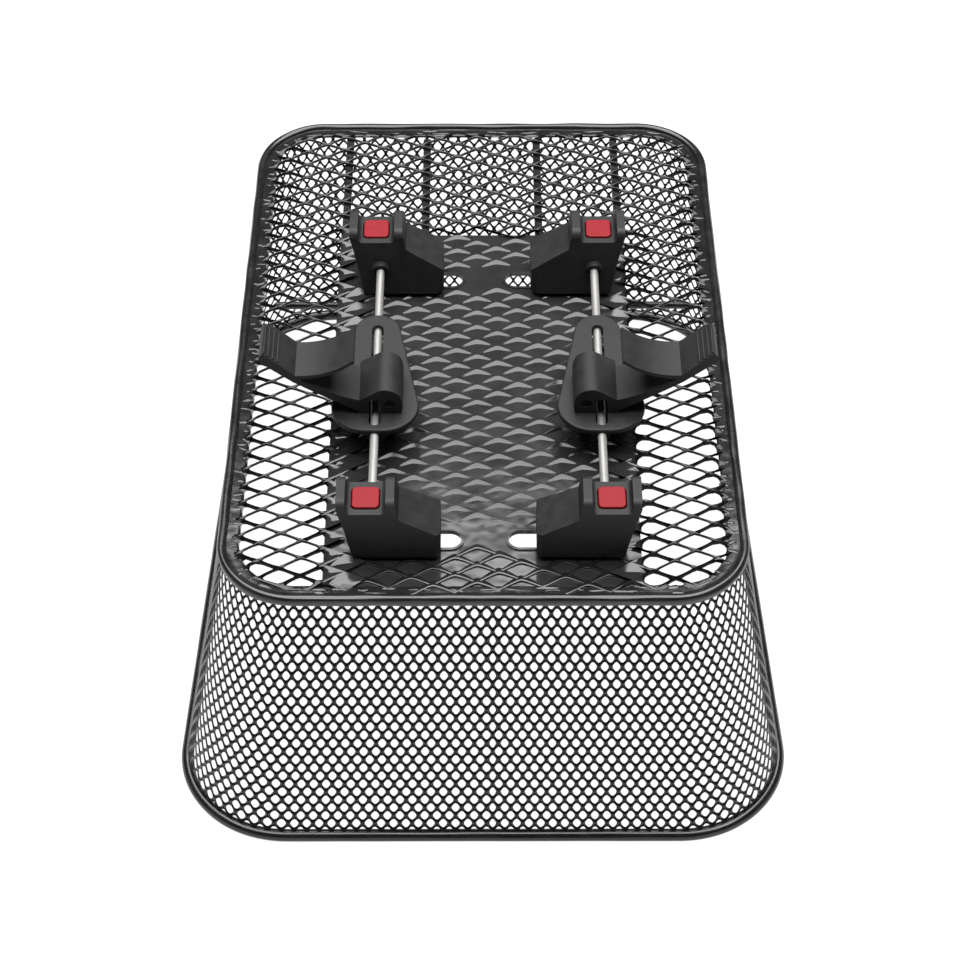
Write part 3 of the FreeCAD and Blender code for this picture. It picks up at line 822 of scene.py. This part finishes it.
def spring_coil():
    """Helix of wire under a pad."""
    height = PAD_BOTTOM_Z - POCKET_FLOOR_Z - 2 * SPRING_WIRE_R
    turns, steps, around = 2.5, 60, 8
    verts = []
    for k in range(steps + 1):
        angle = 2 * math.pi * turns * k / steps
        z = POCKET_FLOOR_Z + SPRING_WIRE_R + height * k / steps
        for i in range(around):
            turn = 2 * math.pi * i / around
            radius = SPRING_R + SPRING_WIRE_R * math.cos(turn)
            verts.append((CHANNEL_U + radius * math.cos(angle), PAD_Y + radius * math.sin(angle),
                          z + SPRING_WIRE_R * math.sin(turn)))
    faces = []
    for k in range(steps):
        low, high = k * around, (k + 1) * around
        for i in range(around):
            n = (i + 1) % around
            faces.append((low + i, low + n, high + n, high + i))
    faces.append(tuple(range(around))[::-1])
    faces.append(tuple(steps * around + i for i in range(around)))
    return oriented(verts, faces)


# --- lever ---------------------------------------------------------------------------------

def hull_of_circles(circles, steps=48):
    """Convex outline round some circles."""
    points = []
    for x, y, radius in circles:
        points += circle((x, y), radius, steps)
    points = sorted(set((round(x, 5), round(y, 5)) for x, y in points))

    def half(ordered):
        chain = []
        for p in ordered:
            while len(chain) > 1:
                (ax, ay), (bx, by) = chain[-2], chain[-1]
                if (bx - ax) * (p[1] - ay) - (by - ay) * (p[0] - ax) > 0:
                    break
                chain.pop()
            chain.append(p)
        return chain[:-1]
    return half(points) + half(points[::-1])


LEVER_TOP_Z = 207.0
LEVER_NEAR_Y = -100.8
LEVER_FAR_Y = -10.2
LEVER_NEAR_R = 19.0
LEVER_FAR_R = 12.6
LEVER_T = 3.5
HOOK_NEAR_Y = -88.0
HOOK_LENGTH = 26.0
HUB_LENGTH = 30.0
CREASE = (100.4, 234.5)          # where the curl meets the tongue
TIP = (116.6, 250.2)
SCREW_U = 51.5
SCREW_Z = 214.0


def lever_plate():
    """Tear-drop plate with the two eyes that turn on the rod, and the window over the rod."""
    near_y = LEVER_NEAR_Y + LEVER_NEAR_R
    circles = [(59.6, LEVER_FAR_Y - LEVER_FAR_R, LEVER_FAR_R),
               (55.2, near_y, LEVER_NEAR_R), (63.8, near_y, LEVER_NEAR_R)]
    plate = prism(hull_of_circles(circles), LEVER_TOP_Z - LEVER_T, LEVER_TOP_Z, "z")
    plate = bevelled(plate, 1.1, 4, 50.0)
    eyes = [cylinder((ROD_U, ROD_Z), 4.2, LEVER_NEAR_Y + 0.5, LEVER_NEAR_Y + 4.0, "y"),
            cylinder((ROD_U, ROD_Z), 4.2, LEVER_FAR_Y - 8.8, LEVER_FAR_Y - 1.0, "y")]
    plate = combined(plate, eyes, "UNION")
    window = [(y, x) for x, y in capsule(LEVER_NEAR_Y + 4.0, LEVER_FAR_Y - 8.8, ROD_U, 3.2)]
    cuts = [prism(window, LEVER_TOP_Z - 12.0, LEVER_TOP_Z + 2.0, "z"),
            cylinder((ROD_U, ROD_Z), ROD_R + 0.05, LEVER_NEAR_Y - 6.0, LEVER_FAR_Y + 6.0, "y")]
    return combined(plate, cuts, "DIFFERENCE")


def hook_section():
    """Outline of arm, tongue and curl seen along the rod."""
    under = arc_through((66.9, 208.0), (81.5, 216.8), (101.5, 229.8), 9)
    tip = [(117.4, 243.2), (118.8, 244.8), (118.6, 247.8), TIP]
    curl_top = arc_through(CREASE, (85.3, 236.4), (70.0, 244.9), 13)
    lip = [(69.3, 244.4), (69.0, 243.4), (69.6, 242.6)]
    curl_under = arc_through((70.6, 242.4), (85.6, 234.0), (97.5, 232.0), 11)
    web = arc_through((97.5, 231.2), (82.3, 222.4), (67.4, 216.6), 9)
    return under + tip + curl_top + lip + curl_under + web + [(60.0, 214.0), (60.0, 208.0)]


def hub_section():
    """Outline of the rounded hub seen along the rod."""
    foot = [(45.6, LEVER_TOP_Z - 0.2), (68.8, LEVER_TOP_Z - 0.2)]
    outer = [(67.8, 214.0), (67.4, 216.6), (57.6, 222.9)]
    crown = arc_through((55.8, 223.8), (51.0, 223.4), (46.9, 220.6), 6)
    inner = arc_through((46.0, 219.2), (44.9, 215.5), (44.6, 211.5), 5)
    return foot + outer + crown + inner


def hook_solid():
    """Hub with the arm, its grip ribs, the arch over the rod and the hole of the screw."""
    far_y = HOOK_NEAR_Y + HOOK_LENGTH
    arm = prism(hook_section(), HOOK_NEAR_Y, far_y, "y")
    corner_cut = [(90.0, far_y + 1), (110.0, far_y + 1), (122.0, far_y + 1), (122.0, far_y - 5.0),
                  (112.0, far_y)]
    arm = combined(arm, [prism(corner_cut, 225.0, 260.0, "z")], "DIFFERENCE")
    hub = prism(hub_section(), HOOK_NEAR_Y, HOOK_NEAR_Y + HUB_LENGTH, "y")
    body = combined(hub, [arm], "UNION")
    arch_top = circle((ROD_U, 213.5), 3.2, 12, 0.0, 180.0)
    arch = prism([(ROD_U - 3.2, 205.0), (ROD_U + 3.2, 205.0)] + arch_top,
                 HOOK_NEAR_Y - 1, HOOK_NEAR_Y + HUB_LENGTH + 1, "y")
    hole = cylinder((SCREW_U, SCREW_Z), 2.7, HOOK_NEAR_Y - 1, HOOK_NEAR_Y + 3.5, "y")
    body = combined(body, [arch, hole], "DIFFERENCE")
    body = bevelled(body, 0.55, 2, 38.0)
    return joined(body, *grip_ribs())


def grip_ribs():
    """Low ridges across the tongue."""
    ribs = []
    for t in (0.55, 0.69, 0.83, 0.96):
        u = CREASE[0] + (TIP[0] - CREASE[0]) * t
        z = CREASE[1] + (TIP[1] - CREASE[1]) * t
        ribs.append(cylinder((u, z), 0.65, HOOK_NEAR_Y + 1.0, HOOK_NEAR_Y + HOOK_LENGTH - 3.2, "y", 12))
    return ribs


# --- materials -----------------------------------------------------------------------------

def new_material(name):
    material = bpy.data.materials.new(name)
    material.use_nodes = True
    nodes = material.node_tree.nodes
    return material, nodes, material.node_tree.links, nodes["Principled BSDF"]


def noise_node(nodes, links, scale, detail=3.0, rough=0.55):
    coords = nodes.get("Texture Coordinate") or nodes.new("ShaderNodeTexCoord")
    texture = nodes.new("ShaderNodeTexNoise")
    texture.inputs["Scale"].default_value = scale
    texture.inputs["Detail"].default_value = detail
    texture.inputs["Roughness"].default_value = rough
    links.new(coords.outputs["Object"], texture.inputs["Vector"])
    return texture


def ramp_node(nodes, links, source, low, high, stops=(0.35, 0.65)):
    ramp = nodes.new("ShaderNodeValToRGB")
    ramp.color_ramp.elements[0].position = stops[0]
    ramp.color_ramp.elements[1].position = stops[1]
    ramp.color_ramp.elements[0].color = low
    ramp.color_ramp.elements[1].color = high
    links.new(source, ramp.inputs["Fac"])
    return ramp


def grey(value):
    return (value, value, value, 1.0)


def surface(name, low, high, rough_low, rough_high, mottle_scale, bump_scale, bump, distance, metallic=0.0,
            coat=0.0, specular=0.5):
    """Principled surface with mottled colour and roughness and a fine bump, all from noise."""
    material, nodes, links, shader = new_material(name)
    mottle = noise_node(nodes, links, mottle_scale)
    tone = ramp_node(nodes, links, mottle.outputs["Fac"], low, high)
    links.new(tone.outputs["Color"], shader.inputs["Base Color"])
    rough = ramp_node(nodes, links, mottle.outputs["Fac"], grey(rough_low), grey(rough_high))
    links.new(rough.outputs["Color"], shader.inputs["Roughness"])
    grain = noise_node(nodes, links, bump_scale, 2.0)
    bumper = nodes.new("ShaderNodeBump")
    bumper.inputs["Strength"].default_value = bump
    bumper.inputs["Distance"].default_value = distance
    links.new(grain.outputs["Fac"], bumper.inputs["Height"])
    links.new(bumper.outputs["Normal"], shader.inputs["Normal"])
    shader.inputs["Metallic"].default_value = metallic
    shader.inputs["Coat Weight"].default_value = coat
    shader.inputs["Coat Roughness"].default_value = 0.12
    shader.inputs["Specular IOR Level"].default_value = specular
    return material


def brushed(name, colour, axis_scale, rough, metallic=1.0):
    """Metal with fine lines drawn along one axis."""
    material, nodes, links, shader = new_material(name)
    coords = nodes.new("ShaderNodeTexCoord")
    stretch = nodes.new("ShaderNodeMapping")
    stretch.inputs["Scale"].default_value = axis_scale
    lines = nodes.new("ShaderNodeTexNoise")
    lines.inputs["Scale"].default_value = 1.0
    lines.inputs["Detail"].default_value = 4.0
    links.new(coords.outputs["Object"], stretch.inputs["Vector"])
    links.new(stretch.outputs["Vector"], lines.inputs["Vector"])
    dark = tuple(c * 0.82 for c in colour) + (1.0,)
    tone = ramp_node(nodes, links, lines.outputs["Fac"], dark, colour + (1.0,))
    links.new(tone.outputs["Color"], shader.inputs["Base Color"])
    spread = ramp_node(nodes, links, lines.outputs["Fac"], grey(rough * 0.8), grey(rough * 1.3))
    links.new(spread.outputs["Color"], shader.inputs["Roughness"])
    shader.inputs["Metallic"].default_value = metallic
    return material


POWDER = surface("powder_coat", grey(0.008), grey(0.013), 0.16, 0.24, 90.0, 500.0, 0.04, 0.0004)
POWDER_MESH = surface("powder_coat_mesh", grey(0.003), grey(0.006), 0.18, 0.26,
                      120.0, 900.0, 0.05, 0.0003, specular=0.36)
# Wall sheets use one powder coat in two copies. The strands get a darker copy that barely reflects, which is
# painted shade. The bonds get a lighter, glossier copy, which is a painted highlight.
FINE_STRAND_SHADE = surface("powder_coat_fine_strands_painted_shade", grey(0.001), grey(0.003), 0.24, 0.32,
                    120.0, 900.0, 0.10, 0.0003, specular=0.05)
FINE_BOND_HIGHLIGHT = surface("powder_coat_fine_bonds_painted_highlight", grey(0.004), grey(0.007), 0.24, 0.32,
                    120.0, 900.0, 0.10, 0.0003, specular=0.55)
PLATE_COAT = surface("powder_coat_plate", grey(0.017), grey(0.022), 0.09, 0.13,
                     60.0, 50.0, 0.26, 0.0011)
BAND_COAT = surface("powder_coat_band", grey(0.009), grey(0.014), 0.10, 0.15,
                    80.0, 60.0, 0.22, 0.0012)
PLASTIC = surface("moulded_plastic", grey(0.011), grey(0.015), 0.46, 0.56,
                  160.0, 2600.0, 0.22, 0.0002, specular=0.28)
RED = surface("red_pad", (0.19, 0.006, 0.010, 1.0), (0.215, 0.008, 0.013, 1.0), 0.50, 0.60,
              200.0, 2200.0, 0.15, 0.0002, specular=0.2)
ROD_STEEL = brushed("rod_steel", (0.36, 0.355, 0.345), (600.0, 20.0, 600.0), 0.42, 0.5)
SPRING_STEEL = brushed("spring_steel", (0.60, 0.60, 0.60), (900.0, 900.0, 200.0), 0.28)
ZINC = surface("zinc_plate", (0.46, 0.46, 0.47, 1.0), (0.58, 0.58, 0.58, 1.0), 0.28, 0.42,
               300.0, 1200.0, 0.10, 0.0002, metallic=1.0)
BRASS = brushed("insert_brass", (0.72, 0.53, 0.24), (900.0, 900.0, 200.0), 0.34)


def paint_node(node, material):
    """Gives a CAD node that stays in view its finish."""
    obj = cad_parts[node]
    if not obj.material_slots:
        obj.data.materials.append(None)
    for material_slot in obj.material_slots:
        material_slot.material = material


# --- building ------------------------------------------------------------------------------

def build_basket():
    add_piece("rim_bead", *swept_ring(outline(**RIM), circle((0.0, 0.0), RIM_TUBE_R, 24), RIM_Z, 0.12, 1.0),
              POWDER, "basket", ["rim_tube"], "powder_coat_black")
    add_piece("base_bead", *base_wire(), POWDER, "basket", ["base_wire"], "powder_coat_black")
    add_piece("inner_band", *base_band(), BAND_COAT, "basket", ["base_band"], "powder_coat_black", 60.0)
    wall = WallMap()
    seam_near = SEAM_X
    far_middle = wall.along[STRAIGHT_STEPS[0] + STRAIGHT_STEPS[1] + 2 * ARC_STEPS + STRAIGHT_STEPS[2] // 2]
    seam_far = far_middle - SEAM_X
    right = seam_far - seam_near
    left = wall.total - right
    for side, start, length in (("right", seam_near, right), ("left", seam_far, left)):
        # Strands take the darker coat copy as painted shade; the bond faces take the lighter, glossier copy
        # as a painted highlight.
        verts, faces, bonds = wall_sheet(wall, start, length)
        add_piece(side + "_fine_mesh", verts, faces, FINE_STRAND_SHADE, "basket", [side + "_wall_mesh"],
                  "mesh_black", 80.0, bonds, FINE_BOND_HIGHLIGHT)


def build_floor():
    edge = EdgeOfFloor(BASE_WIRE_R + BAND_WIDTH * 0.45)
    band_edge = EdgeOfFloor(BASE_WIRE_R + BAND_WIDTH)
    verts, faces, _ = open_floor(edge, band_edge)
    over = [i for i, face in enumerate(faces) if over_plate(*centre_of([verts[j] for j in face])[:2])]
    add_piece("open_expanded_floor", verts, faces, POWDER_MESH, "basket", ["floor_mesh"],
              "mesh_black", 24.0, over, PLATE_COAT)
    add_piece("embossed_floor", *embossed_floor(), POWDER, "basket", (), "mesh_black", 38.0)
    add_piece("weld_lumps", *weld_lumps(), BAND_COAT, "basket", (), "powder_coat_black", 80.0)
    add_piece("slotted_plate", *mount_plate(), PLATE_COAT, "basket", ["mount_plate"],
              "powder_coat_black", 50.0)
    for number in range(1, 5):
        paint_node("floor_strip_%d" % number, POWDER)
    paint_node("end_bar", POWDER)


def build_side(side):
    sign = -1 if side == "left" else 1
    shift = SIDE_X[side]
    carriage, lever = side + "_carriage", side + "_lever"
    block, pad = block_solid(), pad_solid()
    for end, outer_y, facing in (("front", FRONT_BLOCK_Y, 1), ("rear", REAR_BLOCK_Y, -1)):
        name = "%s_%s" % (side, end)
        add_piece(name + "_clamp_body", *transformed(block, sign, facing, shift, outer_y),
                  PLASTIC, carriage, [name + "_block"], "plastic_black", 40.0)
        add_piece(name + "_red_pad", *transformed(pad, sign, facing, shift, outer_y),
                  RED, name + "_pad_slider", [name + "_pad"], "pad_red", 45.0)
        coil = add_piece(name + "_coil", *transformed(spring_coil(), sign, facing, shift, outer_y),
                         SPRING_STEEL, carriage, [name + "_pad_spring"], "steel_bright", 60.0)
        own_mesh(coil)
    paint_node(side + "_rod", ROD_STEEL)
    paint_node(side + "_slot_washers", ZINC)
    paint_node(side + "_clamp_bolts", ZINC)
    paint_node(side + "_threaded_inserts", BRASS)
    paint_node(side + "_hook_screw", POWDER)
    add_piece(side + "_lever_leaf", *transformed(lever_plate(), sign, 1, shift),
              PLASTIC, lever, [side + "_lever_plate"], "plastic_black", 40.0)
    add_piece(side + "_hook_body", *transformed(hook_solid(), sign, 1, shift),
              PLASTIC, lever, [side + "_hook"], "plastic_black", 40.0)


# --- stage ---------------------------------------------------------------------------------

def build_stage():
    """Pale floor, half a millimetre below the rim."""
    mesh = bpy.data.meshes.new("floor")
    size, drop = 6.0, -0.0005
    corners = [(-size, -size, drop), (size, -size, drop), (size, size, drop), (-size, size, drop)]
    mesh.from_pydata(corners, [], [(0, 1, 2, 3)])
    floor = bpy.data.objects.new("floor", mesh)
    bpy.context.scene.collection.objects.link(floor)
    material, _, _, shader = new_material("floor_white")
    shader.inputs["Base Color"].default_value = grey(0.10)
    shader.inputs["Roughness"].default_value = 0.9
    shader.inputs["Specular IOR Level"].default_value = 0.0
    shader.inputs["Emission Color"].default_value = grey(1.0)
    shader.inputs["Emission Strength"].default_value = 0.98
    mesh.materials.append(material)


def area_light(name, place, target, size, power, colour=(1.0, 1.0, 1.0)):
    light = bpy.data.lights.new(name, "AREA")
    light.shape = "RECTANGLE"
    light.size, light.size_y = size
    light.energy = power
    light.color = colour
    obj = bpy.data.objects.new(name, light)
    obj.location = place
    obj.rotation_euler = (Vector(target) - Vector(place)).to_track_quat("-Z", "Y").to_euler()
    bpy.context.scene.collection.objects.link(obj)


def build_world():
    """Dim studio with a pale band at the horizon."""
    world = bpy.data.worlds.new("studio")
    world.use_nodes = True
    nodes, links = world.node_tree.nodes, world.node_tree.links
    coords = nodes.new("ShaderNodeTexCoord")
    split = nodes.new("ShaderNodeSeparateXYZ")
    links.new(coords.outputs["Generated"], split.inputs["Vector"])
    band = ramp_node(nodes, links, split.outputs["Z"], grey(0.5), grey(0.07), (0.02, 0.12))
    links.new(band.outputs["Color"], nodes["Background"].inputs["Color"])
    nodes["Background"].inputs["Strength"].default_value = 1.0
    bpy.context.scene.world = world


def build_lights():
    """Dim world and one wide soft light overhead."""
    build_world()
    area_light("overhead", (0.0, 0.575, 2.5), (0.0, 0.575, 0.0), (3.0, 2.75), 210.0)
    bpy.context.scene.view_settings.view_transform = "Standard"


def build_camera():
    camera = bpy.data.cameras.new("camera")
    camera.lens = 95.32
    camera.sensor_width = 36.0
    obj = bpy.data.objects.new("camera", camera)
    obj.location = (-0.0032, -1.0487, 1.151)
    obj.rotation_euler = (math.radians(44.0), 0.0, math.radians(-0.1))
    bpy.context.scene.collection.objects.link(obj)
    bpy.context.scene.camera = obj


build_camera()
build_basket()
build_floor()
for side_name in ("left", "right"):
    build_side(side_name)
build_stage()
build_lights()
